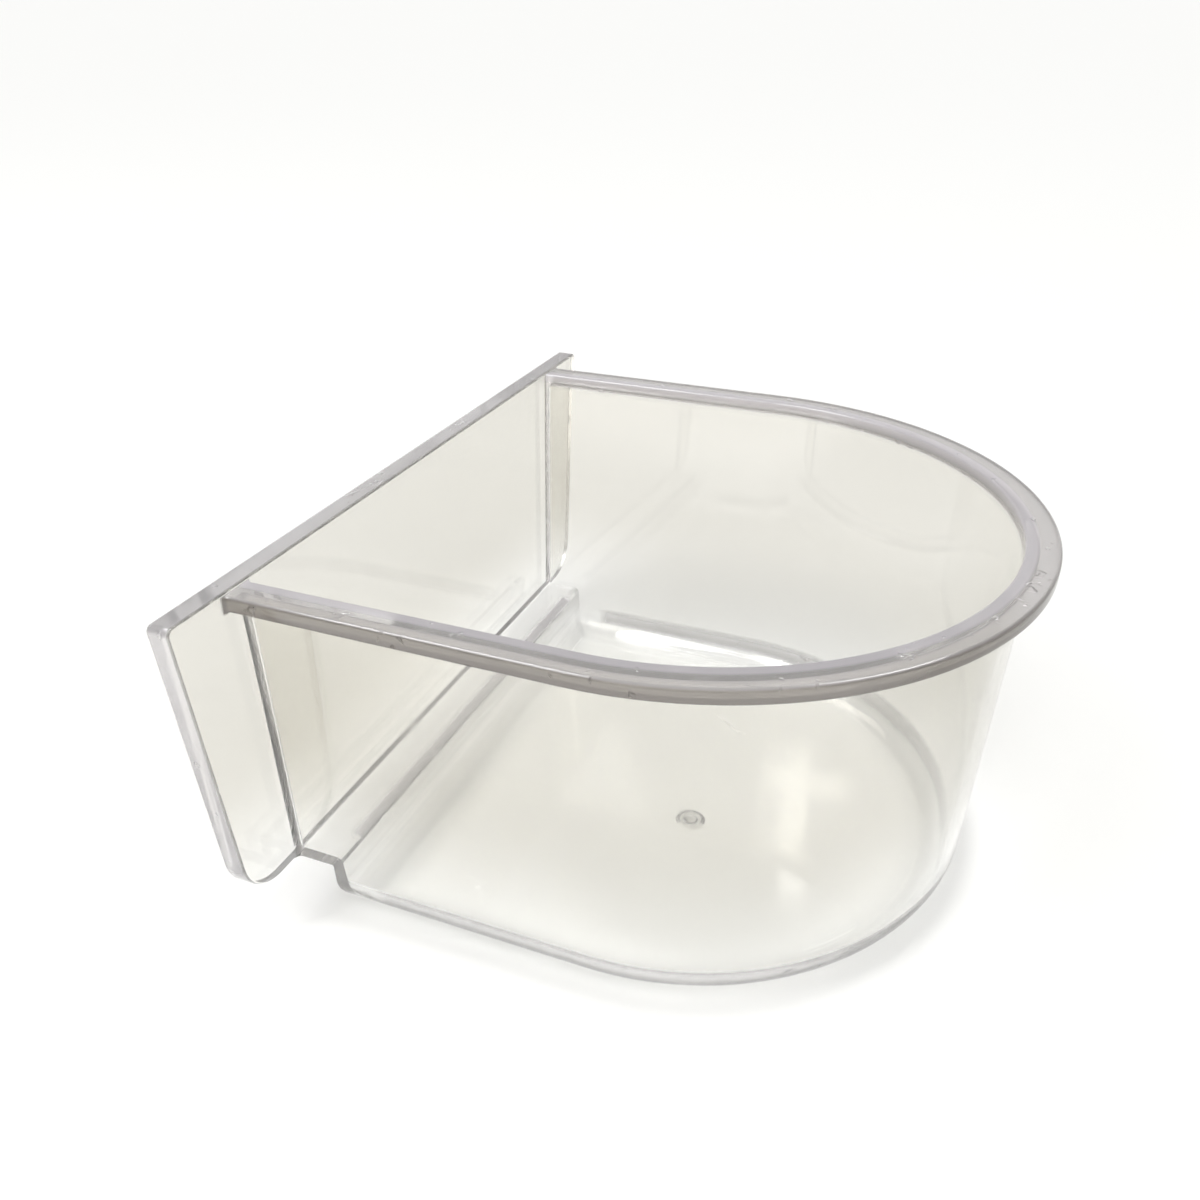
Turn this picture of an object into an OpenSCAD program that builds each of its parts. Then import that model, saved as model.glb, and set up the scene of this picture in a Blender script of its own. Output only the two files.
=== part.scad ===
// Clear cage feeder: a D-shaped cup with a rim flange, moulded onto a back plate
// whose two wings slide behind the upright guides of a cage opening.
// Axes: X along the plate, the bowed front of the cup towards -Y, Z up.
// Origin: on the base, under the middle of the overall box. All sizes are in millimetres.

/* [Overall] */
// Width of the back plate along its top edge
plate_w = 100; // [80:0.5:130]
// Depth from the back face of the plate to the front of the rim
depth = 82; // [66:0.5:110]
// Height from the base to the top of the plate
height = 46; // [32:0.5:70]

/* [Back plate and wings] */
// Thickness of the back plate
plate_t = 2.8; // [1.6:0.1:4]
// How far each wing stands out past the rim
wing_out = 8.1; // [5:0.1:12]
// How much each wing narrows from its top edge to its bottom edge
wing_taper = 3.8; // [0:0.1:5]
// Radius of the lower corner of each wing
wing_corner_r = 6; // [2:0.5:8]
// Radius of the upper corner of each wing
wing_top_r = 0.8; // [0.5:0.1:3]

/* [Cup] */
// Thickness of the walls
wall_t = 1.3; // [1:0.1:2.5]
// Thickness of the floor
floor_t = 1.5; // [1:0.1:2.5]
// Lean of the walls from upright, in degrees
draft = 2.6; // [0.5:0.1:5]
// Outside radius where the walls turn into the floor
cove_r = 5.3; // [3.5:0.1:7]

/* [Rim] */
// How far the rim stands out from the wall
rim_out = 2.6; // [1.5:0.1:5]
// Thickness of the rim
rim_t = 1.8; // [1:0.1:3]
// How far the rim lies below the top edge of the plate
rim_drop = 0.3; // [0.1:0.1:2]

/* [Sill notch] */
// Height of the notch under the back of the cup
notch_h = 7.4; // [5:0.1:12]
// Depth of the notch in front of the plate
notch_d = 5; // [3:0.1:10]
// Thickness of the ledge over the notch
ledge_t = 1.1; // [0.8:0.1:2.5]
// Inside radius where the riser of the notch meets the floor
riser_r = 3; // [0.5:0.1:4]
// Outside radius of the heel, where the riser turns under the floor
heel_r = 4.3; // [0.5:0.1:5]

/* [Gate mark] */
// Place of the gate mark along the plate
gate_x = -5.5; // [-10:0.5:10]
// Place of the gate mark from front to back
gate_y = -2; // [-10:0.5:10]
// Diameter of the recess around the gate mark
gate_d = 4; // [2:0.1:8]
// Depth of that recess in the underside of the floor
gate_depth = 0.5; // [0.2:0.1:0.8]
// Diameter of the broken gate left in the recess
nub_d = 1.6; // [0.8:0.1:1.9]
// Gap from the end of the broken gate to the surface the cup stands on
nub_gap = 0.15; // [0.05:0.05:0.15]

/* [Hidden] */
$fn = 96;
clear_plastic = [0.90, 0.90, 0.87, 0.45];
edge_plastic = [0.72, 0.71, 0.72, 0.60];

// Planes and radii that the pieces share; a radius is measured out from the middle of the cup
plate_back_y = depth / 2;
plate_front_y = plate_back_y - plate_t;
rim_r = plate_w / 2 - wing_out;
wall_top_r = rim_r - rim_out;
rim_top_z = height - rim_drop;
wall_top_z = rim_top_z - rim_t;
arc_y = rim_r - depth / 2;
notch_y = plate_front_y - notch_d;
riser_y = notch_y - wall_t;
ledge_top_z = notch_h + ledge_t;

// Outer and inner faces of the wall at height z
function wall_r(z) = wall_top_r - (height - z) * tan(draft);
function inner_r(z) = wall_r(z) - wall_t / cos(draft);

// The cove: arcs that run from the floor to the leaning wall, outside and inside
cove_inner_r = cove_r - wall_t;
cove_lean = [cos(draft), -sin(draft)];
cove_mid = [wall_r(cove_r) - cove_r / cos(draft), cove_r];
cove_inner_z = floor_t + cove_inner_r;
cove_inner_mid = [inner_r(cove_inner_z) - cove_inner_r / cos(draft), cove_inner_z];
floor_edge = min(cove_mid[0], cove_inner_mid[0]);

// A rounded corner at p between the unit directions u and v of its two edges
function unit(v) = v / norm(v);
function corner_setback(u, v, r) = r / tan(acos(u * v) / 2);
function corner_mid(p, u, v, r) = p + unit(u + v) * r / sin(acos(u * v) / 2);

// Cup section from the middle out to one face of the wall, up to height top
module cup_region(bottom, mid, r, face_r, top) {
    polygon([[0, bottom], [mid[0], bottom], mid, mid + r * cove_lean, [face_r, top], [0, top]]);
    translate(mid) circle(r = r);
}

module outer_region(top) cup_region(0, cove_mid, cove_r, wall_r(top), top);
module inner_region(top) cup_region(floor_t, cove_inner_mid, cove_inner_r, inner_r(top), top);

// Wall with its cove, from the edge of the floor up to the underside of the rim
module wall_section() {
    difference() {
        intersection() {
            outer_region(wall_top_z);
            translate([floor_edge, 0]) square([wall_top_r, wall_top_z]);
        }
        inner_region(height);
    }
}

module rim_section() {
    polygon([
        [inner_r(wall_top_z), wall_top_z],
        [rim_r, wall_top_z],
        [rim_r, rim_top_z],
        [inner_r(rim_top_z), rim_top_z],
    ]);
}

// A section carried straight back from the bowed front to the plate, on the +X side
module straight_run() {
    translate([0, plate_front_y, 0]) rotate([90, 0, 0]) linear_extrude(plate_front_y - arc_y) children();
}

// A section carried round the bowed front
module front_run() {
    translate([0, arc_y, 0]) rotate([0, 0, 180]) rotate_extrude(angle = 180) children();
}

// The space inside the straight part of the cup, with the floor's own thickness
module cup_inside() {
    straight_run() {
        inner_region(height);
        mirror([1, 0]) inner_region(height);
        translate([-floor_edge, 0]) square([2 * floor_edge, floor_t]);
    }
}

// The notch that clears the sill of the cage opening
module sill_notch() {
    translate([-plate_w / 2, notch_y, -floor_t]) cube([plate_w, notch_d + plate_t, notch_h + floor_t]);
}

// What the rounded heel at the front of that notch takes off the corner
module heel_cut() {
    rotate([90, 0, 90]) linear_extrude(plate_w, center = true) difference() {
        translate([notch_y - heel_r, -floor_t]) square([heel_r + notch_d, heel_r + floor_t]);
        translate([notch_y - heel_r, heel_r]) circle(r = heel_r);
    }
}

// Part of the plate that closes the back of the cup
module panel_outline() {
    polygon([
        [-wall_r(notch_h), notch_h],
        [wall_r(notch_h), notch_h],
        [wall_r(height), height],
        [-wall_r(height), height],
    ]);
}

// Wing on the +X side, from the wall out to the tapered edge with its rounded corners
module wing_outline() {
    low = [plate_w / 2 - wing_taper, notch_h];
    high = [plate_w / 2, height];
    up = unit(high - low);
    inward = [-1, 0];
    low_set = corner_setback(inward, up, wing_corner_r);
    high_set = corner_setback(inward, -up, wing_top_r);
    difference() {
        union() {
            polygon([
                [0, notch_h],
                low + low_set * inward,
                low + low_set * up,
                high - high_set * up,
                high + high_set * inward,
                [0, height],
            ]);
            translate(corner_mid(low, inward, up, wing_corner_r)) circle(r = wing_corner_r);
            translate(corner_mid(high, inward, -up, wing_top_r)) circle(r = wing_top_r);
        }
        panel_outline();
        translate([-plate_w, 0]) square([plate_w, 2 * height]);
    }
}

module plate_run() {
    translate([0, plate_back_y, 0]) rotate([90, 0, 0]) linear_extrude(plate_t) children();
}

module back_panel() color(clear_plastic) plate_run() panel_outline();
module right_wing() color(edge_plastic) plate_run() wing_outline();
module left_wing() mirror([1, 0, 0]) right_wing();

module right_wall() {
    color(clear_plastic) difference() {
        straight_run() wall_section();
        sill_notch();
        heel_cut();
    }
}

module left_wall() mirror([1, 0, 0]) right_wall();
module front_wall() color(clear_plastic) front_run() wall_section();

module right_rim() color(edge_plastic) straight_run() rim_section();
module left_rim() mirror([1, 0, 0]) right_rim();
module front_rim() color(edge_plastic) front_run() rim_section();

// Flat floor inside the coves, with a recess for the gate mark underneath
module cup_floor() {
    color(clear_plastic) difference() {
        linear_extrude(floor_t) {
            intersection() {
                translate([0, arc_y]) circle(r = floor_edge);
                translate([-floor_edge, arc_y - floor_edge]) square([2 * floor_edge, floor_edge]);
            }
            translate([-floor_edge, arc_y]) square([2 * floor_edge, riser_y - arc_y]);
        }
        translate([gate_x, gate_y, -floor_t]) cylinder(d = gate_d, h = floor_t + gate_depth);
        heel_cut();
    }
}

// Upright strip at the front of the notch, with a small cove onto the floor and a rounded heel
module sill_riser() {
    color(clear_plastic) difference() {
        intersection() {
            rotate([90, 0, 90]) linear_extrude(plate_w, center = true) {
                translate([riser_y, 0]) square([wall_t, ledge_top_z]);
                difference() {
                    translate([riser_y - riser_r, floor_t]) square(riser_r);
                    translate([riser_y - riser_r, floor_t + riser_r]) circle(r = riser_r);
                }
            }
            cup_inside();
        }
        heel_cut();
    }
}

// Flat strip over the notch, from the riser back to the plate
module sill_ledge() {
    color(clear_plastic) intersection() {
        translate([-plate_w / 2, notch_y, notch_h]) cube([plate_w, notch_d, ledge_t]);
        cup_inside();
    }
}

// Broken gate left by the moulding, kept clear of the surface the cup stands on
module gate_nub() {
    color(edge_plastic) translate([gate_x, gate_y, nub_gap]) cylinder(d = nub_d, h = gate_depth - nub_gap);
}

back_panel();
left_wing();
right_wing();
left_wall();
front_wall();
right_wall();
cup_floor();
sill_riser();
sill_ledge();
left_rim();
front_rim();
right_rim();
gate_nub();
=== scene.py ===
"""Clear slide-in cage feeder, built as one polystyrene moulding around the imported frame.

The cup's section is carried round a D-shaped path, a rounded back plate is joined to it, and the recess
of the gate mark is cut from the floor's underside. Lengths are in millimetres until a mesh is made, and
then in metres, in the frame's own axes: X along the plate, -Y towards the bowed front, Z up.
"""

import logging
import math
from dataclasses import dataclass
from enum import Enum
from typing import Any

import bmesh
import bpy
import numpy as np
from mathutils import Matrix, Vector


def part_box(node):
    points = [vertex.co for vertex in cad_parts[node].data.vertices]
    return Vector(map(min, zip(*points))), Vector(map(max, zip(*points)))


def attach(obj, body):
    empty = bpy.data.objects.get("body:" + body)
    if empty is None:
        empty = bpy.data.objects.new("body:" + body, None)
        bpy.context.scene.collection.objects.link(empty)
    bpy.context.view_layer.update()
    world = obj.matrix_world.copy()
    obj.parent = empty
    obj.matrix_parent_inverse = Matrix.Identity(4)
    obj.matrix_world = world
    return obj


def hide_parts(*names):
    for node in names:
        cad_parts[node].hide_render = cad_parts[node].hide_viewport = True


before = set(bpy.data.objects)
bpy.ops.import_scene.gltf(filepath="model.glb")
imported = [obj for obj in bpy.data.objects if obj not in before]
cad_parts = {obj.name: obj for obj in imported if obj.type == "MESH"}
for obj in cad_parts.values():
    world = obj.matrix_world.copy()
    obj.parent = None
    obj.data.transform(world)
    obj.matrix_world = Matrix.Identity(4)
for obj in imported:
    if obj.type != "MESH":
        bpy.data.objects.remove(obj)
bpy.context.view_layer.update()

MM = 0.001
DOUBLES = 0.001 * MM
WHITE = "FFFFFF"
EDGE_HAZE = "edge_haze_painted_shade"
HAZE_TINT = "haze_tint_painted_shade"
LOG = logging.getLogger("feeder")


class Join(Enum):
    """How one closed solid is worked into another."""

    WELD = "UNION"
    CUT = "DIFFERENCE"


def linear(hex_colour: str, alpha: float = 1.0) -> tuple[float, float, float, float]:
    """Turns an sRGB hex colour to linear light.

    Args:
        hex_colour: Six hex digits, red first.
        alpha: Value of the fourth channel.

    Returns:
        Linear red, green and blue, and alpha.
    """
    channels = np.array([int(hex_colour[i:i + 2], 16) for i in (0, 2, 4)]) / 255.0
    light = np.where(channels <= 0.04045, channels / 12.92, ((channels + 0.055) / 1.055) ** 2.4)
    return (*map(float, light), alpha)


def add_node(tree: bpy.types.NodeTree, kind: str, settings: dict[str, Any] | None = None,
             feeds: dict[str | int, Any] | None = None) -> bpy.types.Node:
    """Adds a node, sets it up and links what feeds it.

    Args:
        tree: Node tree that takes the node.
        kind: Blender's name for the kind of node.
        settings: Attributes of the node and their values.
        feeds: Input names or numbers, each with a value or with the output socket that feeds it.

    Returns:
        The new node.
    """
    node = tree.nodes.new(kind)
    for name, value in (settings or {}).items():
        setattr(node, name, value)
    for key, value in (feeds or {}).items():
        if isinstance(value, bpy.types.NodeSocket):
            tree.links.new(value, node.inputs[key])
        else:
            node.inputs[key].default_value = value
    return node


def solid_object(name: str, points: np.ndarray, faces: list[list[int]]) -> bpy.types.Object:
    """Makes an object at the origin from points in millimetres, with doubles merged and faces outwards.

    Args:
        name: Name of the object and its mesh.
        points: Array of points, three columns, in millimetres.
        faces: Lists of point numbers.

    Returns:
        The new object, in the scene.
    """
    mesh = bpy.data.meshes.new(name)
    mesh.from_pydata((points * MM).tolist(), [], faces)
    work = bmesh.new()
    work.from_mesh(mesh)
    bmesh.ops.remove_doubles(work, verts=work.verts, dist=DOUBLES)
    bmesh.ops.recalc_face_normals(work, faces=work.faces)
    work.to_mesh(mesh)
    work.free()
    made = bpy.data.objects.new(name, mesh)
    bpy.context.scene.collection.objects.link(made)
    return made


def grid_faces(rows: int, columns: int, closed: bool = False) -> np.ndarray:
    """Numbers the quads of a grid of points that is stored row by row.

    Args:
        rows: Number of rows of points.
        columns: Number of points in a row.
        closed: Whether the last column joins the first.

    Returns:
        Array of quads, four point numbers each.
    """
    reach = columns if closed else columns - 1
    row, column = np.meshgrid(np.arange(rows - 1), np.arange(reach), indexing="ij")
    after = (column + 1) % columns
    corners = (row * columns + column, row * columns + after,
               (row + 1) * columns + after, (row + 1) * columns + column)
    return np.stack(corners, axis=-1).reshape(-1, 4)


def work_in(body: bpy.types.Object, tool: bpy.types.Object, how: Join) -> None:
    """Joins a tool to a body or cuts it away, leaves the result in the body's mesh and removes the tool.

    Args:
        body: Closed solid that is kept.
        tool: Closed solid that is used up.
        how: Whether the tool is welded on or cut away.
    """
    boolean = body.modifiers.new("work_in", "BOOLEAN")
    boolean.operation = how.value
    boolean.object = tool
    boolean.solver = "EXACT"
    graph = bpy.context.evaluated_depsgraph_get()
    made = bpy.data.meshes.new_from_object(body.evaluated_get(graph))
    body.modifiers.clear()
    spent = [body.data, tool.data]
    body.data = made
    bpy.data.objects.remove(tool)
    for mesh in spent:
        bpy.data.meshes.remove(mesh)


def steps(first: float, last: float, count: int) -> np.ndarray:
    """Evenly spaced values from first to last, both left out."""
    return np.linspace(first, last, count + 2)[1:-1]


@dataclass(frozen=True)
class FrameLevels:
    """Planes and radii of the moulding, in millimetres, read from the boxes of the frame's nodes."""

    plate_top: float
    top: float
    rim_under: float
    rim_reach: float
    bow_centre: float
    wall_top: float
    floor_top: float
    riser_front: float
    notch_front: float
    notch_top: float
    ledge_top: float
    plate_front: float
    plate_back: float
    gate_x: float
    gate_y: float
    gate_roof: float
    nub_end: float

    @classmethod
    def read(cls) -> "FrameLevels":
        """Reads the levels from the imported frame."""
        rim_low, rim_high = (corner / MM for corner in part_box("front_rim"))
        panel_low, panel_high = (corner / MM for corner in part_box("back_panel"))
        floor_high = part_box("cup_floor")[1] / MM
        ledge_low, ledge_high = (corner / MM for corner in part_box("sill_ledge"))
        nub_low, nub_high = (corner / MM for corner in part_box("gate_nub"))
        return cls(
            plate_top=panel_high.z, top=rim_high.z, rim_under=rim_low.z, rim_reach=rim_high.x,
            bow_centre=rim_high.y, wall_top=panel_high.x, floor_top=floor_high.z, riser_front=floor_high.y,
            notch_front=ledge_low.y, notch_top=ledge_low.z, ledge_top=ledge_high.z,
            plate_front=panel_low.y, plate_back=panel_high.y,
            gate_x=(nub_low.x + nub_high.x) / 2, gate_y=(nub_low.y + nub_high.y) / 2,
            gate_roof=nub_high.z, nub_end=nub_low.z,
        )


@dataclass(frozen=True)
class Run:
    """Stations of the straight part of the cup, each value an array with one entry for each station.

    A station is a plane across the cup at y. The floor's upper face lies at floor_z there, and root is how
    far the faces have swollen into the fillet that runs round the joint with the plate.
    """

    y: np.ndarray
    floor_z: np.ndarray
    root: np.ndarray


@dataclass
class Cup:
    """The D-shaped cup: floor, stepped back, leaning walls, bowed front and rim flange.

    Sizes are in millimetres. The small rounds are those of a polished mould, the cutter's fields are how far
    the cutting tools reach past what they cut, and the nub's and recess's shares are of their half widths.
    """

    levels: FrameLevels
    wall: float = 1.3
    draft: float = math.radians(2.6)
    cove: float = 5.3
    riser_round: float = 3.0
    riser_lean: float = math.radians(4)
    crest_round: float = 0.9
    heel_round: float = 4.3
    notch_round: float = 0.25
    root_round: float = 0.6
    lip_round: float = 0.3
    edge_round: float = 0.4
    under_round: float = 0.3
    rim_fillet: float = 0.5
    weld_depth: float = 1.4
    weld_clear: float = 0.02
    gate_recess: float = 4.0
    recess_roof: float = 0.72
    recess_flare: float = 0.28
    recess_mouth: float = 1.08
    nub_width: float = 1.6
    nub_tip: float = 0.6
    nub_flare: float = 0.7
    nub_dimple: float = 0.02
    heel_start: float = math.radians(-86)
    cutter_half: float = 60.0
    cutter_behind: float = 5.0
    cutter_below: float = 1.0
    bow_stations: int = 128
    floor_samples: int = 30
    gate_sides: int = 48
    floor_crowding: float = 1.35
    mitre_rise: float = 0.3

    def wall_face(self, z: np.ndarray | float) -> np.ndarray | float:
        """Outer face of the wall at height z, measured out from the middle of the cup."""
        return self.levels.wall_top - (self.levels.plate_top - z) * math.tan(self.draft)

    def inner_face(self, z: np.ndarray | float) -> np.ndarray | float:
        """Inner face of the wall at height z."""
        return self.wall_face(z) - self.wall / math.cos(self.draft)

    def straight_run(self) -> Run:
        """Stations from the bowed front back into the plate, along the side line of the stepped floor.

        The line is flat, turns up through a cove, climbs the leaning riser, turns over the crest and runs
        flat to the plate, where a quarter round swells all faces into the root fillet.

        Returns:
            The stations.
        """
        levels = self.levels
        sine, cosine = math.sin(self.riser_lean), math.cos(self.riser_lean)
        foot, crest = self.riser_round, self.crest_round
        cove_y = levels.riser_front - foot * cosine
        low, high = levels.floor_top + foot * (1 - sine), levels.ledge_top - crest * (1 - sine)
        crest_y = levels.riser_front + (high - low) * sine / cosine + crest * cosine
        root_y = levels.plate_front - self.root_round

        flat = steps(levels.bow_centre, cove_y, 12)
        turn = np.linspace(0, math.pi / 2 - self.riser_lean, 13)
        climb = steps(0, 1, 3)
        over = np.linspace(self.riser_lean, math.pi / 2, 7)
        ledge = steps(crest_y, root_y, 3)
        swell = np.linspace(0, math.pi / 2, 7)
        y = np.concatenate([
            flat,
            cove_y + foot * np.sin(turn),
            levels.riser_front + (high - low) * climb * sine / cosine,
            crest_y - crest * np.cos(over),
            ledge,
            root_y + self.root_round * np.sin(swell),
            [levels.plate_front + self.weld_depth],
        ])
        floor_z = np.concatenate([
            np.full_like(flat, levels.floor_top),
            levels.floor_top + foot * (1 - np.cos(turn)),
            low + (high - low) * climb,
            levels.ledge_top - crest * (1 - np.sin(over)),
            np.full(ledge.size + swell.size + 1, levels.ledge_top),
        ])
        root = np.concatenate([
            np.zeros(y.size - swell.size - 1), self.root_round * (1 - np.cos(swell)), [self.root_round]])
        return Run(y, floor_z, root)

    def section(self, floor_z: np.ndarray, root: np.ndarray) -> tuple[np.ndarray, np.ndarray]:
        """Closed section of the cup at each station, from the floor's middle over the rim and back under it.

        The floor is level, an arc turns it into the leaning wall, and small arcs round the lip, the rim's
        edges and the corner under the rim. Where the floor climbs the riser, it meets the wall's arc in a
        mitre, so the arc starts at the floor's own height, or on the wall above the arc. The root fillet
        moves the wall's two faces, the ledge and the rim's outer faces apart by its own amount.

        Args:
            floor_z: Height of the floor's upper face at each station.
            root: Swell of the root fillet at each station.

        Returns:
            Distance out from the middle and height of each sample, one row for each station.
        """
        levels = self.levels
        lean, sine, cosine = self.draft, math.sin(self.draft), math.cos(self.draft)
        top, swell = levels.top, root[:, None]
        base = floor_z[:, None] + swell
        round_in, round_out = self.cove - self.wall, self.cove
        mid_in = levels.floor_top + round_in
        edge_in = self.inner_face(mid_in) - round_in / cosine
        edge_out = self.wall_face(round_out) - round_out / cosine

        count = self.floor_samples
        across = np.linspace(0, 1, count + 1)[:-1] ** self.floor_crowding
        arc = np.linspace(0, 1, 13)
        turn = np.linspace(-math.pi / 2, -lean, 13)
        climb = steps(0, 1, 18)
        lip = np.linspace(math.pi - lean, math.pi / 2, 5)
        edge = np.linspace(math.pi / 2, 0, 6)
        under = np.linspace(0, -math.pi / 2, 5)
        fillet = np.linspace(math.pi / 2, math.pi - lean, 6)

        start = np.arcsin(np.clip((base - mid_in) / round_in, -1, -sine))
        rising = start + (-lean - start) * arc
        on_wall = base > mid_in - round_in * sine
        arc_z = np.where(on_wall, base + self.mitre_rise * arc, mid_in + round_in * np.sin(rising))
        arc_r = np.where(on_wall, self.inner_face(arc_z), edge_in + round_in * np.cos(rising)) - swell

        lip_z = top - self.lip_round
        lip_r = self.inner_face(lip_z) + self.lip_round / cosine
        edge_r, edge_z = levels.rim_reach - self.edge_round, top - self.edge_round
        under_r, under_z = levels.rim_reach - self.under_round, levels.rim_under + self.under_round
        fillet_z = levels.rim_under - self.rim_fillet
        fillet_r = self.wall_face(fillet_z) + self.rim_fillet / cosine
        flange = steps(lip_r, edge_r, 6)
        side = steps(edge_z, under_z, 2)
        beneath = steps(under_r, fillet_r, 4)
        rim_r = np.concatenate([
            lip_r + self.lip_round * np.cos(lip) - swell,
            flange + steps(-1, 1, flange.size) * swell,
            edge_r + self.edge_round * np.cos(edge) + swell,
            np.full_like(side, levels.rim_reach) + swell,
            under_r + self.under_round * np.cos(under) + swell,
            beneath + swell,
            fillet_r + self.rim_fillet * np.cos(fillet) + swell,
        ], axis=1)
        rim_z = np.concatenate([
            lip_z + self.lip_round * np.sin(lip) + 0 * swell,
            np.full_like(flange, top) + 0 * swell,
            edge_z + self.edge_round * np.sin(edge) + 0 * swell,
            side - steps(0, 1, side.size) * swell,
            under_z + self.under_round * np.sin(under) - swell,
            np.full_like(beneath, levels.rim_under) - swell,
            fillet_z + self.rim_fillet * np.sin(fillet) - swell,
        ], axis=1)

        wall_in_z = arc_z[:, -1:] + (rim_z[:, :1] - arc_z[:, -1:]) * climb
        foot_out = round_out * (1 - sine)
        wall_out_z = foot_out + (rim_z[:, -1:] - foot_out) * climb[::-1]
        ones = np.ones_like(base)
        r = np.concatenate([
            arc_r[:, :1] * across,
            arc_r,
            self.inner_face(wall_in_z) - swell,
            rim_r,
            self.wall_face(wall_out_z) + swell,
            edge_out + round_out * np.cos(turn[::-1]) + swell,
            edge_out * across[::-1] * ones,
        ], axis=1)
        z = np.concatenate([
            base * np.ones(count),
            arc_z,
            wall_in_z,
            rim_z,
            wall_out_z,
            round_out * (1 + np.sin(turn[::-1])) * ones,
            np.zeros(count) * ones,
        ], axis=1)
        return r, z

    def build(self) -> bpy.types.Object:
        """Carries the section round the D-shaped path and closes its two ends inside the plate.

        A point lies at its distance r from the middle line on the straight runs, and from the bow's centre
        on the half-round front.

        Returns:
            The closed cup, still without its notch.
        """
        run = self.straight_run()
        r, z = self.section(run.floor_z, run.root)
        right = np.stack([r, run.y[:, None] * np.ones_like(r), z], axis=-1)
        left = right[::-1] * np.array([-1.0, 1.0, 1.0])

        flat_r, flat_z = self.section(np.array([self.levels.floor_top]), np.zeros(1))
        angle = np.linspace(math.pi, 2 * math.pi, self.bow_stations + 1)[:, None]
        bow = np.stack([flat_r * np.cos(angle), self.levels.bow_centre + flat_r * np.sin(angle),
                        flat_z * np.ones_like(angle)], axis=-1)
        grid = np.concatenate([left, bow, right])
        rows, columns = grid.shape[:2]
        numbers = np.arange(rows * columns).reshape(rows, columns)
        faces = grid_faces(rows, columns).tolist()
        faces.append(np.concatenate([numbers[0], numbers[-1, ::-1]]).tolist())
        return solid_object("cup", grid.reshape(-1, 3), faces)

    def notch_cutter(self) -> bpy.types.Object:
        """Long tool for the notch under the back of the cup.

        Its side line runs up the riser's outer face, with an arc for the heel below and one for the inner
        corner above, and is carried straight along X.

        Returns:
            The closed tool.
        """
        levels = self.levels
        heel, corner = self.heel_round, self.notch_round
        front, roof = levels.notch_front, levels.notch_top + self.weld_clear
        back, below = levels.plate_back + self.cutter_behind, -self.cutter_below
        foot = np.linspace(self.heel_start, 0, 7)
        root = np.linspace(math.pi, math.pi / 2, 6)
        y = np.concatenate([[front - heel + heel * math.cos(foot[0])], front - heel + heel * np.cos(foot),
                            front + corner + corner * np.cos(root), [back, back]])
        z = np.concatenate([[below], heel + heel * np.sin(foot),
                            roof - corner + corner * np.sin(root), [roof, below]])
        x = np.array([-self.cutter_half, self.cutter_half])[:, None]
        grid = np.stack([x * np.ones_like(y), y * np.ones_like(x), z * np.ones_like(x)], axis=-1)
        rows, columns = grid.shape[:2]
        faces = grid_faces(rows, columns, closed=True).tolist()
        faces.append(list(range(columns)))
        faces.append(list(range(columns, 2 * columns)))
        return solid_object("notch_cutter", grid.reshape(-1, 3), faces)

    def gate_cutter(self) -> bpy.types.Object:
        """Turned tool for the recess around the gate mark, which leaves the broken gate standing in it.

        A profile of radius and depth is turned about the gate's upright axis.

        Returns:
            The closed tool.
        """
        levels = self.levels
        roof, end = levels.gate_roof, levels.nub_end
        outer, nub = self.gate_recess / 2, self.nub_width / 2
        mouth, below, dimple = outer * self.recess_mouth, -self.cutter_below, self.nub_dimple
        flank = np.linspace(0, math.pi, 7)
        rise = (1 - np.cos(flank)) / 2
        r = np.concatenate([[0.0], nub * (self.nub_tip + self.nub_flare * rise),
                            outer * (self.recess_roof + self.recess_flare * rise), [mouth, mouth, 0.0]])
        z = np.concatenate([[end + dimple], end + (roof - end) * rise, roof - roof * rise,
                            [-dimple, below, below]])
        profile = np.stack([r, z], axis=-1)
        angle = np.linspace(0, 2 * math.pi, self.gate_sides + 1)[:-1]
        grid = np.stack([
            levels.gate_x + profile[:, :1] * np.cos(angle),
            levels.gate_y + profile[:, :1] * np.sin(angle),
            profile[:, 1:] * np.ones_like(angle),
        ], axis=-1)
        faces = grid_faces(*grid.shape[:2], closed=True).tolist()
        return solid_object("gate_cutter", grid.reshape(-1, 3), faces)


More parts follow.
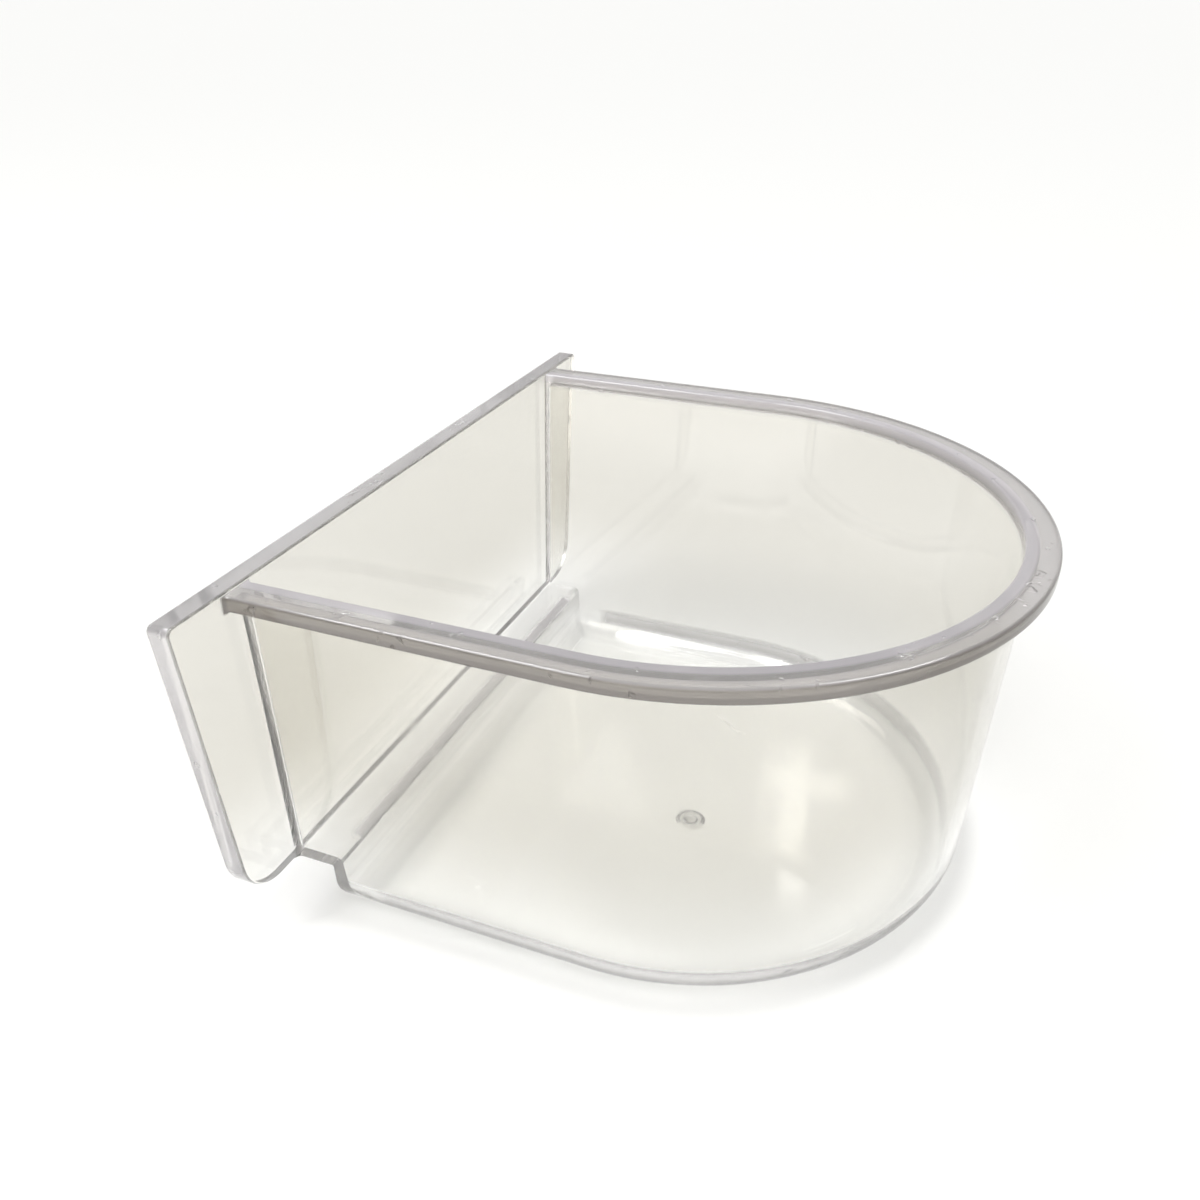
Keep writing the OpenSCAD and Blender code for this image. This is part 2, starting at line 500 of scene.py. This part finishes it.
@dataclass
class BackPlate:
    """The flat back plate whose two tapered wings slide behind the cage's guides."""

    levels: FrameLevels
    half_top: float = 50.0
    taper: float = 3.8
    lower_corner: float = 6.0
    upper_corner: float = 0.8
    edge_round: float = 0.35

    def outline(self) -> tuple[np.ndarray, np.ndarray]:
        """Rounded outline in X and Z and its outward normals, corner by corner anticlockwise.

        Each corner is an arc whose centre lies where the two sides, moved in by the radius, meet.

        Returns:
            Points and normals, two columns each.
        """
        low, high = self.levels.notch_top, self.levels.plate_top
        half_low = self.half_top - self.taper
        lean = math.atan2(self.taper, high - low)
        down, up = -math.pi / 2, math.pi / 2
        side = -lean
        lower, upper = self.lower_corner, self.upper_corner
        low_x = half_low + math.tan(lean) * lower - lower / math.cos(lean)
        high_x = self.half_top - math.tan(lean) * upper - upper / math.cos(lean)
        right_low = np.linspace(down, side, 17)
        right_high = np.linspace(side, up, 11)
        x = np.concatenate([low_x + lower * np.cos(right_low), high_x + upper * np.cos(right_high)])
        z = np.concatenate([low + lower + lower * np.sin(right_low),
                            high - upper + upper * np.sin(right_high)])
        turn = np.concatenate([right_low, right_high])
        normal = np.stack([np.cos(turn), np.sin(turn)], axis=-1)
        points = np.stack([x, z], axis=-1)
        flip = np.array([-1.0, 1.0])
        return np.concatenate([points, points[::-1] * flip]), np.concatenate([normal, normal[::-1] * flip])

    def build(self) -> bpy.types.Object:
        """Carries a rounded edge profile round the outline and closes the two flat faces.

        Returns:
            The closed plate.
        """
        points, normals = self.outline()
        arc = np.linspace(0, math.pi / 2, 5)
        radius = self.edge_round
        front, back = self.levels.plate_front, self.levels.plate_back
        inset = np.concatenate([radius * (1 - np.sin(arc)), radius * (1 - np.cos(arc))])
        depth = np.concatenate([front + radius * (1 - np.cos(arc)), back - radius * (1 - np.sin(arc))])
        rings = points[None] - inset[:, None, None] * normals[None]
        y = np.broadcast_to(depth[:, None], rings.shape[:2])
        grid = np.stack([rings[..., 0], y, rings[..., 1]], axis=-1)
        rows, columns = grid.shape[:2]
        faces = grid_faces(rows, columns, closed=True).tolist()
        faces.append(list(range(columns)))
        faces.append(list(range((rows - 1) * columns, rows * columns)))
        return solid_object("plate", grid.reshape(-1, 3), faces)


@dataclass(frozen=True)
class ClearPolystyrene:
    """Crystal polystyrene, injection moulded in a polished mould.

    It is clear with a faint warm tint, and a grey painted shade deepens up the walls, so the floor is
    palest. Along the rim and the plate's edges, at the foot and on the step's crest, painted shade makes
    it a hazy grey, lilac on top and darker on the rim's outer face.
    Handling leaves faint smudges, scuffs on the floor and nicks on the edges, and the flow of the melt
    leaves shallow waves. A band gives the part of a pattern's range over which its mark comes in.
    """

    floor_tint: str = "FFFFFE"
    wall_tint_and_shade: str = "E6E4DE"
    # Painted shade colours for the rim's top and outer face, the plate's edges, the foot and the crest.
    rim_top_shade: str = "D0CCD0"
    rim_side_shade: str = "6E6862"
    plate_edge_shade: str = "CDCAD1"
    foot_shade: str = "AEAAAC"
    crest_shade: str = "9C979B"
    nub_white: str = "F6F5F2"
    absorbed: str = "C9C7C0"
    density: float = 6.0
    clear_share: float = 0.985
    # Transmission where the painted edge shade is full.
    edge_share: float = 0.42
    index: float = 1.59
    clean: float = 0.03
    smudged: float = 0.12
    satin: float = 0.12
    wave_mm: float = 19.0
    wave_detail: float = 1.5
    wave_rise: float = 0.035
    smudge_mm: float = 11.0
    smudge_detail: float = 6.0
    smudge_gain: float = 0.65
    smudge_twist: float = 0.6
    smudge_band: tuple[float, float] = (0.52, 0.72)
    scuff_mm: float = 14.0
    scuff_detail: float = 3.0
    scuff_twist: float = 1.2
    scuff_middle: float = 0.5
    scuff_width: float = 0.004
    scuff_top: float = 2.0
    scuff_band: tuple[float, float] = (0.55, 0.62)
    scuff_rough: float = 0.18
    nick_mm: float = 2.4
    nick_detail: float = 2.0
    nick_band: tuple[float, float] = (0.66, 0.74)
    nick_rise: float = 0.22
    wall_shade_low: float = 2.0
    wall_shade_high: float = 26.0

    def material(self) -> bpy.types.Material:
        """Makes the node material.

        Returns:
            The material, with its patterns on object coordinates in metres and its painted edge shade on two
            attributes.
        """
        made = bpy.data.materials.new("crystal_polystyrene_moulded")
        made.use_nodes = True
        tree = made.node_tree
        tree.nodes.clear()
        place = add_node(tree, "ShaderNodeTexCoord").outputs["Object"]
        edge = add_node(tree, "ShaderNodeAttribute", {"attribute_name": EDGE_HAZE}).outputs["Fac"]
        wave = add_node(tree, "ShaderNodeTexNoise", feeds={
            "Vector": place, "Scale": 1 / (self.wave_mm * MM), "Detail": self.wave_detail})
        smudge = add_node(tree, "ShaderNodeTexNoise", feeds={
            "Vector": place, "Scale": 1 / (self.smudge_mm * MM), "Detail": self.smudge_detail,
            "Roughness": self.smudge_gain, "Distortion": self.smudge_twist})
        film = add_node(tree, "ShaderNodeMapRange", {"interpolation_type": "SMOOTHSTEP"}, {
            "Value": smudge.outputs["Fac"], "From Min": self.smudge_band[0], "From Max": self.smudge_band[1],
            "To Min": self.clean, "To Max": self.smudged})
        trail = add_node(tree, "ShaderNodeTexNoise", feeds={
            "Vector": place, "Scale": 1 / (self.scuff_mm * MM), "Detail": self.scuff_detail,
            "Distortion": self.scuff_twist})
        on_line = add_node(tree, "ShaderNodeMath", {"operation": "COMPARE"}, {
            0: trail.outputs["Fac"], 1: self.scuff_middle, 2: self.scuff_width})
        patch = add_node(tree, "ShaderNodeMapRange", {"interpolation_type": "SMOOTHSTEP"}, {
            "Value": smudge.outputs["Fac"], "From Min": self.scuff_band[0], "From Max": self.scuff_band[1],
            "To Max": self.scuff_rough})
        height = add_node(tree, "ShaderNodeSeparateXYZ", feeds={0: place})
        on_floor = add_node(tree, "ShaderNodeMath", {"operation": "LESS_THAN"}, {
            0: height.outputs["Z"], 1: self.scuff_top * MM})
        line = add_node(tree, "ShaderNodeMath", {"operation": "MULTIPLY"}, {
            0: on_line.outputs["Value"], 1: on_floor.outputs["Value"]})
        scuff = add_node(tree, "ShaderNodeMath", {"operation": "MULTIPLY"}, {
            0: line.outputs["Value"], 1: patch.outputs["Result"]})
        handled = add_node(tree, "ShaderNodeMath", {"operation": "ADD"}, {
            0: film.outputs["Result"], 1: scuff.outputs["Value"]})
        rough = add_node(tree, "ShaderNodeMix", feeds={
            "Factor": edge, "A": handled.outputs["Value"], "B": self.satin})
        chip = add_node(tree, "ShaderNodeTexNoise", feeds={
            "Vector": place, "Scale": 1 / (self.nick_mm * MM), "Detail": self.nick_detail})
        nick = add_node(tree, "ShaderNodeMapRange", {"interpolation_type": "SMOOTHSTEP"}, {
            "Value": chip.outputs["Fac"], "From Min": self.nick_band[0], "From Max": self.nick_band[1],
            "To Max": self.nick_rise})
        worn = add_node(tree, "ShaderNodeMath", {"operation": "MULTIPLY"}, {
            0: nick.outputs["Result"], 1: edge})
        relief = add_node(tree, "ShaderNodeMath", {"operation": "MULTIPLY_ADD"}, {
            0: wave.outputs["Fac"], 1: self.wave_rise, 2: worn.outputs["Value"]})
        bump = add_node(tree, "ShaderNodeBump", feeds={
            "Height": relief.outputs["Value"], "Strength": 1.0, "Distance": MM})
        # Painted shade: the tint greys from the pale floor up the walls.
        wall_shade_rise = add_node(tree, "ShaderNodeMapRange", {"interpolation_type": "SMOOTHSTEP"}, {
            "Value": height.outputs["Z"], "From Min": self.wall_shade_low * MM, "From Max": self.wall_shade_high * MM})
        face = add_node(tree, "ShaderNodeMix", {"data_type": "RGBA"}, {
            "Factor": wall_shade_rise.outputs["Result"], "A": linear(self.floor_tint), "B": linear(self.wall_tint_and_shade)})
        # Painted shade at the edges: the haze colour from the point attribute.
        shown = add_node(tree, "ShaderNodeAttribute", {"attribute_name": HAZE_TINT}).outputs["Color"]
        tint = add_node(tree, "ShaderNodeMix", {"data_type": "RGBA"}, {
            "Factor": edge, "A": face.outputs["Result"], "B": shown})
        # Less transmission where the painted edge shade is full.
        clear = add_node(tree, "ShaderNodeMapRange", feeds={
            "Value": edge, "To Min": self.clear_share, "To Max": self.edge_share})
        shader = add_node(tree, "ShaderNodeBsdfPrincipled", feeds={
            "Base Color": tint.outputs["Result"], "IOR": self.index,
            "Transmission Weight": clear.outputs["Result"],
            "Roughness": rough.outputs["Result"], "Normal": bump.outputs["Normal"]})
        body = add_node(tree, "ShaderNodeVolumeAbsorption", feeds={
            "Color": linear(self.absorbed), "Density": self.density})
        add_node(tree, "ShaderNodeOutputMaterial", feeds={
            "Surface": shader.outputs["BSDF"], "Volume": body.outputs["Volume"]})
        return made


@dataclass(frozen=True)
class StudioPaper:
    """Matt white background paper: no gloss, with a grain far finer than the picture shows.

    It glows with painted light: evenly all round, and more in the foreground as a painted pool of light,
    which brightens what the cup's near side mirrors. A soft patch under the cup's far floor is left
    without the glow as a painted shadow, and the gap under the rounded edge of its base as a painted
    contact shadow. Apart from the grain, lengths are in metres.
    """

    colour: str = "E4E4E2"
    grain_mm: float = 30.0
    matt: tuple[float, float] = (0.9, 1.0)
    around: float = 0.15
    shadow_patch_place: tuple[float, float, float] = (0.034, 0.002, 0.0)
    shadow_patch_core: float = 0.018
    shadow_patch_edge: float = 0.054
    foot_reach: float = 0.0355
    foot_back: float = 0.0315
    foot_bow: float = 0.0009
    foot_core: float = 0.002
    foot_edge: float = 0.006
    glow: float = 1.05
    glow_way: tuple[float, float, float] = (-0.96, -0.27, 0.0)
    glow_start: float = 0.038
    glow_full: float = 0.085
    glow_near: float = 0.15
    glow_far: float = 0.9

    def clear_of_contact_shadow(self, tree: bpy.types.NodeTree, place: bpy.types.NodeSocket) -> bpy.types.NodeSocket:
        """How far a point on the paper is clear of the painted contact shadow under the rounded edge of the
        cup's base.

        The edge follows the cup's D: the distance out from the middle, or from the bow's centre, less the
        reach of the edge, or the distance behind its back line where that is greater.

        Args:
            tree: Node tree of the paper.
            place: Point on the paper.

        Returns:
            Nought under the edge, one away from it.
        """
        split = add_node(tree, "ShaderNodeSeparateXYZ", feeds={0: place})
        along = add_node(tree, "ShaderNodeMath", {"operation": "SUBTRACT"}, {
            0: split.outputs["Y"], 1: self.foot_bow})
        bow = add_node(tree, "ShaderNodeMath", {"operation": "MINIMUM"}, {0: along.outputs["Value"], 1: 0.0})
        flat = add_node(tree, "ShaderNodeCombineXYZ", feeds={
            "X": split.outputs["X"], "Y": bow.outputs["Value"]})
        out = add_node(tree, "ShaderNodeVectorMath", {"operation": "LENGTH"}, {0: flat.outputs["Vector"]})
        past = add_node(tree, "ShaderNodeMath", {"operation": "SUBTRACT"}, {
            0: out.outputs["Value"], 1: self.foot_reach})
        behind = add_node(tree, "ShaderNodeMath", {"operation": "SUBTRACT"}, {
            0: split.outputs["Y"], 1: self.foot_back})
        off = add_node(tree, "ShaderNodeMath", {"operation": "MAXIMUM"}, {
            0: past.outputs["Value"], 1: behind.outputs["Value"]})
        size = add_node(tree, "ShaderNodeMath", {"operation": "ABSOLUTE"}, {0: off.outputs["Value"]})
        clear = add_node(tree, "ShaderNodeMapRange", {"interpolation_type": "SMOOTHSTEP"}, {
            "Value": size.outputs["Value"], "From Min": self.foot_core, "From Max": self.foot_edge})
        return clear.outputs["Result"]

    def material(self) -> bpy.types.Material:
        """Makes the node material.

        Returns:
            The material.
        """
        made = bpy.data.materials.new("matt_paper_with_painted_light")
        made.use_nodes = True
        tree = made.node_tree
        tree.nodes.clear()
        place = add_node(tree, "ShaderNodeTexCoord").outputs["Object"]
        grain = add_node(tree, "ShaderNodeTexNoise", feeds={
            "Vector": place, "Scale": 1 / (self.grain_mm * MM)})
        rough = add_node(tree, "ShaderNodeMapRange", feeds={
            "Value": grain.outputs["Fac"], "To Min": self.matt[0], "To Max": self.matt[1]})
        # Painted pool of light: the paper glows more in the foreground.
        forward = add_node(tree, "ShaderNodeVectorMath", {"operation": "DOT_PRODUCT"}, {
            0: place, 1: self.glow_way})
        glow = add_node(tree, "ShaderNodeMapRange", {"interpolation_type": "SMOOTHSTEP"}, {
            "Value": forward.outputs["Value"], "From Min": self.glow_start, "From Max": self.glow_full,
            "To Max": self.glow})
        far = add_node(tree, "ShaderNodeVectorMath", {"operation": "LENGTH"}, {0: place})
        fade = add_node(tree, "ShaderNodeMapRange", {"interpolation_type": "SMOOTHSTEP"}, {
            "Value": far.outputs["Value"], "From Min": self.glow_near, "From Max": self.glow_far,
            "To Min": 1.0, "To Max": 0.0})
        pool = add_node(tree, "ShaderNodeMath", {"operation": "MULTIPLY"}, {
            0: glow.outputs["Result"], 1: fade.outputs["Result"]})
        # Painted shadow: the even glow is left out in a soft patch under the cup's far floor.
        off = add_node(tree, "ShaderNodeVectorMath", {"operation": "DISTANCE"}, {
            0: place, 1: self.shadow_patch_place})
        even = add_node(tree, "ShaderNodeMapRange", {"interpolation_type": "SMOOTHSTEP"}, {
            "Value": off.outputs["Value"], "From Min": self.shadow_patch_core, "From Max": self.shadow_patch_edge,
            "To Max": self.around})
        both = add_node(tree, "ShaderNodeMath", {"operation": "ADD"}, {
            0: pool.outputs["Value"], 1: even.outputs["Result"]})
        # Painted contact shadow: no glow in a ring under the rounded edge of the cup's base.
        painted_glow = add_node(tree, "ShaderNodeMath", {"operation": "MULTIPLY"}, {
            0: both.outputs["Value"], 1: self.clear_of_contact_shadow(tree, place)})
        shader = add_node(tree, "ShaderNodeBsdfPrincipled", feeds={
            "Base Color": linear(self.colour), "Specular IOR Level": 0.0,
            "Roughness": rough.outputs["Result"], "Emission Color": linear(WHITE),
            "Emission Strength": painted_glow.outputs["Value"]})
        add_node(tree, "ShaderNodeOutputMaterial", feeds={"Surface": shader.outputs["BSDF"]})
        return made


@dataclass
class Moulding:
    """The finished feeder: cup, back plate and gate mark as one continuous moulding.

    A share is how much of the painted edge shade, a grey haze, a place gets, and a fade is the distance
    over which it comes in.
    """

    levels: FrameLevels
    finish: ClearPolystyrene
    crease: float = math.radians(38)
    # Shares and fades of the painted edge shade, a grey haze.
    rim_share: float = 1.0
    flange_share: float = 0.5
    rim_fade: float = 0.4
    rim_inset: float = 0.45
    wall_overlap: float = 0.3
    plate_share: float = 0.6
    plate_fade: float = 0.3
    plate_clear: float = 0.05
    foot_shade_share: float = 0.6
    foot_low: float = 1.9
    foot_low_fade: float = 0.4
    foot_high: float = 5.0
    foot_high_fade: float = 0.8
    foot_back: float = 5.0
    foot_outward: float = 0.1
    nub_reach: float = 0.85
    nub_depth: float = 0.2
    crest_shade_share: float = 0.75
    crest_depth: float = 0.75
    crest_fade: float = 0.2
    crest_before: float = 0.1
    crest_behind: float = 0.2
    crest_foot: float = 1.0
    crest_half: float = 33.0

    def build(self) -> bpy.types.Object:
        """Cuts the gate mark, welds the plate to the cup and smooths the rounds.

        Returns:
            The finished piece.
        """
        cup = Cup(self.levels)
        body = cup.build()
        work_in(body, cup.notch_cutter(), Join.CUT)
        work_in(body, cup.gate_cutter(), Join.CUT)
        work_in(body, BackPlate(self.levels).build(), Join.WELD)
        body.name = "feeder_moulding"
        body.data.name = "feeder_moulding"
        body.data.shade_smooth()
        body.data.set_sharp_from_angle(angle=self.crease)
        even = body.modifiers.new("even_normals", "WEIGHTED_NORMAL")
        even.keep_sharp = True
        return body

    def mark_edges(self, body: bpy.types.Object) -> None:
        """Writes where each point gets painted shade, a grey haze, and the colour that it shows there.

        The distance r out from the middle, or from the bow's centre, sorts the rim's points: the shade is
        full over the wall and on the rim's outer face, and less on the flange between. The plate's edge
        faces and the crest of the step have their own shares, and so has the foot, which is where the cove's
        points lean outwards. The broken gate is white throughout.

        Args:
            body: The finished piece.
        """
        levels, mesh, finish = self.levels, body.data, self.finish
        points = np.empty(len(mesh.vertices) * 3)
        mesh.vertices.foreach_get("co", points)
        x, y, z = points.reshape(-1, 3).T / MM
        ahead = np.minimum(y - levels.bow_centre, 0)
        r = np.hypot(x, ahead)
        fade = self.rim_fade
        cup = y < levels.plate_front - self.plate_clear
        # Painted shade on the rim: full over the wall and on the outer face, less on the flange.
        rim = np.clip((z - levels.rim_under + fade) / fade, 0, 1) * cup
        outer = np.clip((r - levels.rim_reach + self.rim_inset) / fade, 0, 1)
        over_wall = np.clip((levels.wall_top + self.wall_overlap - r) / fade, 0, 1)
        rim *= self.flange_share + (self.rim_share - self.flange_share) * np.maximum(outer, over_wall)
        # Painted shade on the plate's edge faces.
        depth = np.minimum(y - levels.plate_front, levels.plate_back - y)
        plate = np.clip(depth / self.plate_fade, 0, 1) * self.plate_share
        normals = np.empty_like(points)
        mesh.vertices.foreach_get("normal", normals)
        lean_x, lean_y = normals.reshape(-1, 3)[:, :2].T
        outside = x * lean_x + ahead * lean_y > self.foot_outward * r
        # Painted shade at the foot: a darker grey on the outer cove, where the base stands on the paper.
        foot = np.clip((z - self.foot_low) / self.foot_low_fade, 0, 1)
        foot *= np.clip((self.foot_high - z) / self.foot_high_fade, 0, 1) * self.foot_shade_share
        foot *= outside & (y < levels.notch_front - self.foot_back)
        # Painted shade along the crest of the step, a dark line.
        crest = np.clip((z - levels.ledge_top + self.crest_depth) / self.crest_fade, 0, 1)
        crest *= (y > levels.riser_front - self.crest_before) & (y < levels.notch_front + self.crest_behind)
        crest *= (r < self.crest_half) & (z > levels.floor_top + self.crest_foot)
        crest *= self.crest_shade_share
        near = np.hypot(x - levels.gate_x, y - levels.gate_y) < self.nub_reach
        nub = (near & (z < levels.floor_top - self.nub_depth)).astype(float)
        # Painted shade colours: lilac grey on the rim's top, darker on its outer face, others on the plate's
        # edges, foot and crest; the broken gate is white.
        side = (outer * cup)[:, None]
        tint = np.array(linear(finish.rim_top_shade)) * (1 - side) + np.array(linear(finish.rim_side_shade)) * side
        tint[~cup] = linear(finish.plate_edge_shade)
        tint[foot > 0] = linear(finish.foot_shade)
        tint[crest > 0] = linear(finish.crest_shade)
        tint[nub > 0] = linear(finish.nub_white)
        mesh.attributes.new(EDGE_HAZE, "FLOAT", "POINT").data.foreach_set(
            "value", np.maximum.reduce([rim, plate, foot, crest, nub]).astype(np.float32))
        mesh.attributes.new(HAZE_TINT, "FLOAT_COLOR", "POINT").data.foreach_set(
            "color", tint.astype(np.float32).ravel())

    def dress(self, body: bpy.types.Object) -> None:
        """Gives the moulding its finish, its body in the frame and the nodes that it stands for.

        Args:
            body: The finished piece.
        """
        self.mark_edges(body)
        body.data.materials.clear()
        body.data.materials.append(self.finish.material())
        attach(body, "root")
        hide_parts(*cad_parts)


@dataclass
class Studio:
    """Wide sheet of white paper under a soft overhead light, with a grey room around.

    Sizes are in metres. A soft box on the left lights the cup, and the edge lights over it show only in
    gloss, along the rim and the plate's top.
    """

    reach: float = 60.0
    first_ring: float = 0.05
    rings: int = 14
    paper_sides: int = 96
    air_gap: float = 0.0003
    horizon: float = 1.0
    room: float = 0.42
    lamp: float = 1.55
    lamp_aim: tuple[float, float, float] = (-0.40, -0.15, 0.90)
    lamp_edge: float = math.radians(52)
    lamp_core: float = math.radians(26)
    horizon_top: float = math.radians(0.5)
    room_start: float = math.radians(28)
    strip: float = 2.4
    strip_core: float = 0.4
    strip_aim: tuple[float, float, float] = (0.755, 0.104, 0.648)
    strip_thin: float = math.radians(1.1)
    strip_long: float = math.radians(5.0)
    cross_aim: tuple[float, float, float] = (0.782, 0.096, 0.616)
    cross_thin: float = math.radians(0.9)
    cross_long: float = math.radians(3.4)
    bounces: int = 28
    box_place: tuple[float, float, float] = (-0.35, 0.28, 0.60)
    box_size: float = 0.25
    box_power: float = 1.0
    edge_places: tuple[tuple[float, float, float], ...] = ((-0.05, 0.24, 0.52), (0.20, -0.20, 0.52))
    edge_size: float = 0.2
    edge_power: float = 1.5

    def paper(self) -> bpy.types.Object:
        """Lays the paper as a disc of rings that widen outwards, a hair under the cup.

        Returns:
            The floor.
        """
        radius = np.concatenate([[0.0], np.geomspace(self.first_ring, self.reach, self.rings)])[:, None]
        angle = np.linspace(0, 2 * math.pi, self.paper_sides + 1)[:-1]
        grid = np.stack([radius * np.cos(angle), radius * np.sin(angle),
                         np.full((radius.size, angle.size), -self.air_gap)], axis=-1)
        made = solid_object("studio_paper", grid.reshape(-1, 3) / MM,
                            grid_faces(*grid.shape[:2], closed=True).tolist())
        made.data.materials.append(StudioPaper().material())
        return made

    def strip_light(self, tree: bpy.types.NodeTree, towards: bpy.types.NodeSocket,
                    middle: tuple[float, float, float], half_width: float,
                    half_height: float) -> bpy.types.NodeSocket:
        """Narrow light on the far side, for the soft streak that the floor and the bow reflect.

        A direction's offset from the strip's middle is its dot product with the sideways and the upward
        axis there. The two falls multiply, and only directions on the strip's own side count.

        Args:
            tree: Node tree of the world.
            towards: Direction that is looked at.
            middle: Direction of the strip's middle.
            half_width: Half of the strip's width, as an angle.
            half_height: Half of its height, as an angle.

        Returns:
            Strength of the strip in that direction.
        """
        aim = Vector(middle).normalized()
        side = aim.cross(Vector((0, 0, 1))).normalized()
        up = side.cross(aim)
        falls = []
        for axis, half in ((side, half_width), (up, half_height)):
            offset = add_node(tree, "ShaderNodeVectorMath", {"operation": "DOT_PRODUCT"}, {
                0: towards, 1: axis})
            size = add_node(tree, "ShaderNodeMath", {"operation": "ABSOLUTE"}, {0: offset.outputs["Value"]})
            fall = add_node(tree, "ShaderNodeMapRange", {"interpolation_type": "SMOOTHSTEP"}, {
                "Value": size.outputs["Value"], "From Min": math.sin(half),
                "From Max": math.sin(half * self.strip_core), "To Min": 0.0, "To Max": 1.0})
            falls.append(fall.outputs["Result"])
        ahead = add_node(tree, "ShaderNodeVectorMath", {"operation": "DOT_PRODUCT"}, {0: towards, 1: aim})
        facing = add_node(tree, "ShaderNodeMath", {"operation": "GREATER_THAN"}, {
            0: ahead.outputs["Value"], 1: 0.0})
        strength: float | bpy.types.NodeSocket = self.strip
        for factor in (*falls, facing.outputs["Value"]):
            product = add_node(tree, "ShaderNodeMath", {"operation": "MULTIPLY"}, {0: factor, 1: strength})
            strength = product.outputs["Value"]
        return strength

    def soft_light(self, name: str, place: tuple[float, float, float], size: float,
                   power: float) -> bpy.types.Object:
        """Hangs one square soft light that faces the cup.

        Args:
            name: Name of the light.
            place: Where it hangs, in metres.
            size: Length of its sides, in metres.
            power: Its power, in watts.

        Returns:
            The light's object.
        """
        data = bpy.data.lights.new(name, "AREA")
        data.shape = "SQUARE"
        data.size = size
        data.energy = power
        made = bpy.data.objects.new(name, data)
        made.location = place
        made.rotation_mode = "QUATERNION"
        made.rotation_quaternion = (-Vector(place)).to_track_quat("-Z", "Y")
        bpy.context.scene.collection.objects.link(made)
        return made

    def light(self) -> None:
        """Surrounds the scene with a pale horizon, a grey room above it and the lights.

        The surround holds the round soft light overhead and two strips that cross on the far side, and the
        soft box and the edge lights hang in it.
        """
        scene = bpy.context.scene
        scene.world = bpy.data.worlds.new("studio_surround")
        scene.world.use_nodes = True
        tree = scene.world.node_tree
        tree.nodes.clear()
        towards = add_node(tree, "ShaderNodeTexCoord").outputs["Generated"]
        aim = Vector(self.lamp_aim).normalized()
        near_lamp = add_node(tree, "ShaderNodeVectorMath", {"operation": "DOT_PRODUCT"}, {
            0: towards, 1: aim})
        lamp = add_node(tree, "ShaderNodeMapRange", {"interpolation_type": "SMOOTHSTEP"}, {
            "Value": near_lamp.outputs["Value"], "From Min": math.cos(self.lamp_edge),
            "From Max": math.cos(self.lamp_core), "To Min": 0.0, "To Max": self.lamp})
        height = add_node(tree, "ShaderNodeSeparateXYZ", feeds={0: towards})
        wall = add_node(tree, "ShaderNodeMapRange", {"interpolation_type": "SMOOTHSTEP"}, {
            "Value": height.outputs["Z"], "From Min": math.sin(self.horizon_top),
            "From Max": math.sin(self.room_start), "To Min": self.horizon, "To Max": self.room})
        total = add_node(tree, "ShaderNodeMath", {"operation": "ADD"}, {
            0: lamp.outputs["Result"], 1: wall.outputs["Result"]})
        upright = self.strip_light(tree, towards, self.strip_aim, self.strip_thin, self.strip_long)
        level = self.strip_light(tree, towards, self.cross_aim, self.cross_long, self.cross_thin)
        strips = add_node(tree, "ShaderNodeMath", {"operation": "MAXIMUM"}, {0: upright, 1: level})
        with_strip = add_node(tree, "ShaderNodeMath", {"operation": "ADD"}, {
            0: total.outputs["Value"], 1: strips.outputs["Value"]})
        surround = add_node(tree, "ShaderNodeBackground", feeds={
            "Color": linear(WHITE), "Strength": with_strip.outputs["Value"]})
        add_node(tree, "ShaderNodeOutputWorld", feeds={"Surface": surround.outputs["Background"]})
        self.soft_light("soft_box", self.box_place, self.box_size, self.box_power)
        for place in self.edge_places:
            edge = self.soft_light("edge_light", place, self.edge_size, self.edge_power)
            edge.visible_diffuse = False
            edge.visible_transmission = False
        scene.view_settings.view_transform = "Standard"
        scene.cycles.max_bounces = self.bounces
        scene.cycles.blur_glossy = 0.0
        scene.cycles.glossy_bounces = self.bounces
        scene.cycles.transmission_bounces = self.bounces


@dataclass(frozen=True)
class PhotoCamera:
    """Camera at the photograph's place.

    Its place is in millimetres, its turn in degrees, its focal length in the picture's pixels, and its clip
    distances in metres.
    """

    place: tuple[float, float, float] = (-116.652, -33.150, 98.986)
    yaw: float = 68.170
    pitch: float = -29.208
    focal: float = 1079.0
    picture: float = 1200.0
    sensor: float = 36.0
    clip_near: float = 0.005
    clip_far: float = 100.0

    def build(self) -> None:
        """Makes the camera and gives it to the scene."""
        yaw, pitch = math.radians(self.yaw), math.radians(self.pitch)
        ahead = Vector((math.sin(yaw) * math.cos(pitch), math.cos(yaw) * math.cos(pitch), math.sin(pitch)))
        right = ahead.cross(Vector((0, 0, 1))).normalized()
        above = right.cross(ahead)
        data = bpy.data.cameras.new("photo_camera")
        data.sensor_width = self.sensor
        data.lens = self.focal / self.picture * self.sensor
        data.clip_start = self.clip_near
        data.clip_end = self.clip_far
        made = bpy.data.objects.new("photo_camera", data)
        turn = Matrix((right, above, -ahead)).transposed().to_4x4()
        made.matrix_world = Matrix.Translation(Vector(self.place) * MM) @ turn
        bpy.context.scene.collection.objects.link(made)
        bpy.context.scene.camera = made


def main() -> None:
    """Builds the camera, the studio and the moulding, and reports them."""
    logging.basicConfig(level=logging.INFO, format="%(name)s: %(message)s")
    PhotoCamera().build()
    studio = Studio()
    LOG.info("%s", studio.paper().name)
    studio.light()
    moulding = Moulding(FrameLevels.read(), ClearPolystyrene())
    body = moulding.build()
    moulding.dress(body)
    LOG.info("%s: %d faces", body.name, len(body.data.polygons))


if __name__ == "__main__":
    main()
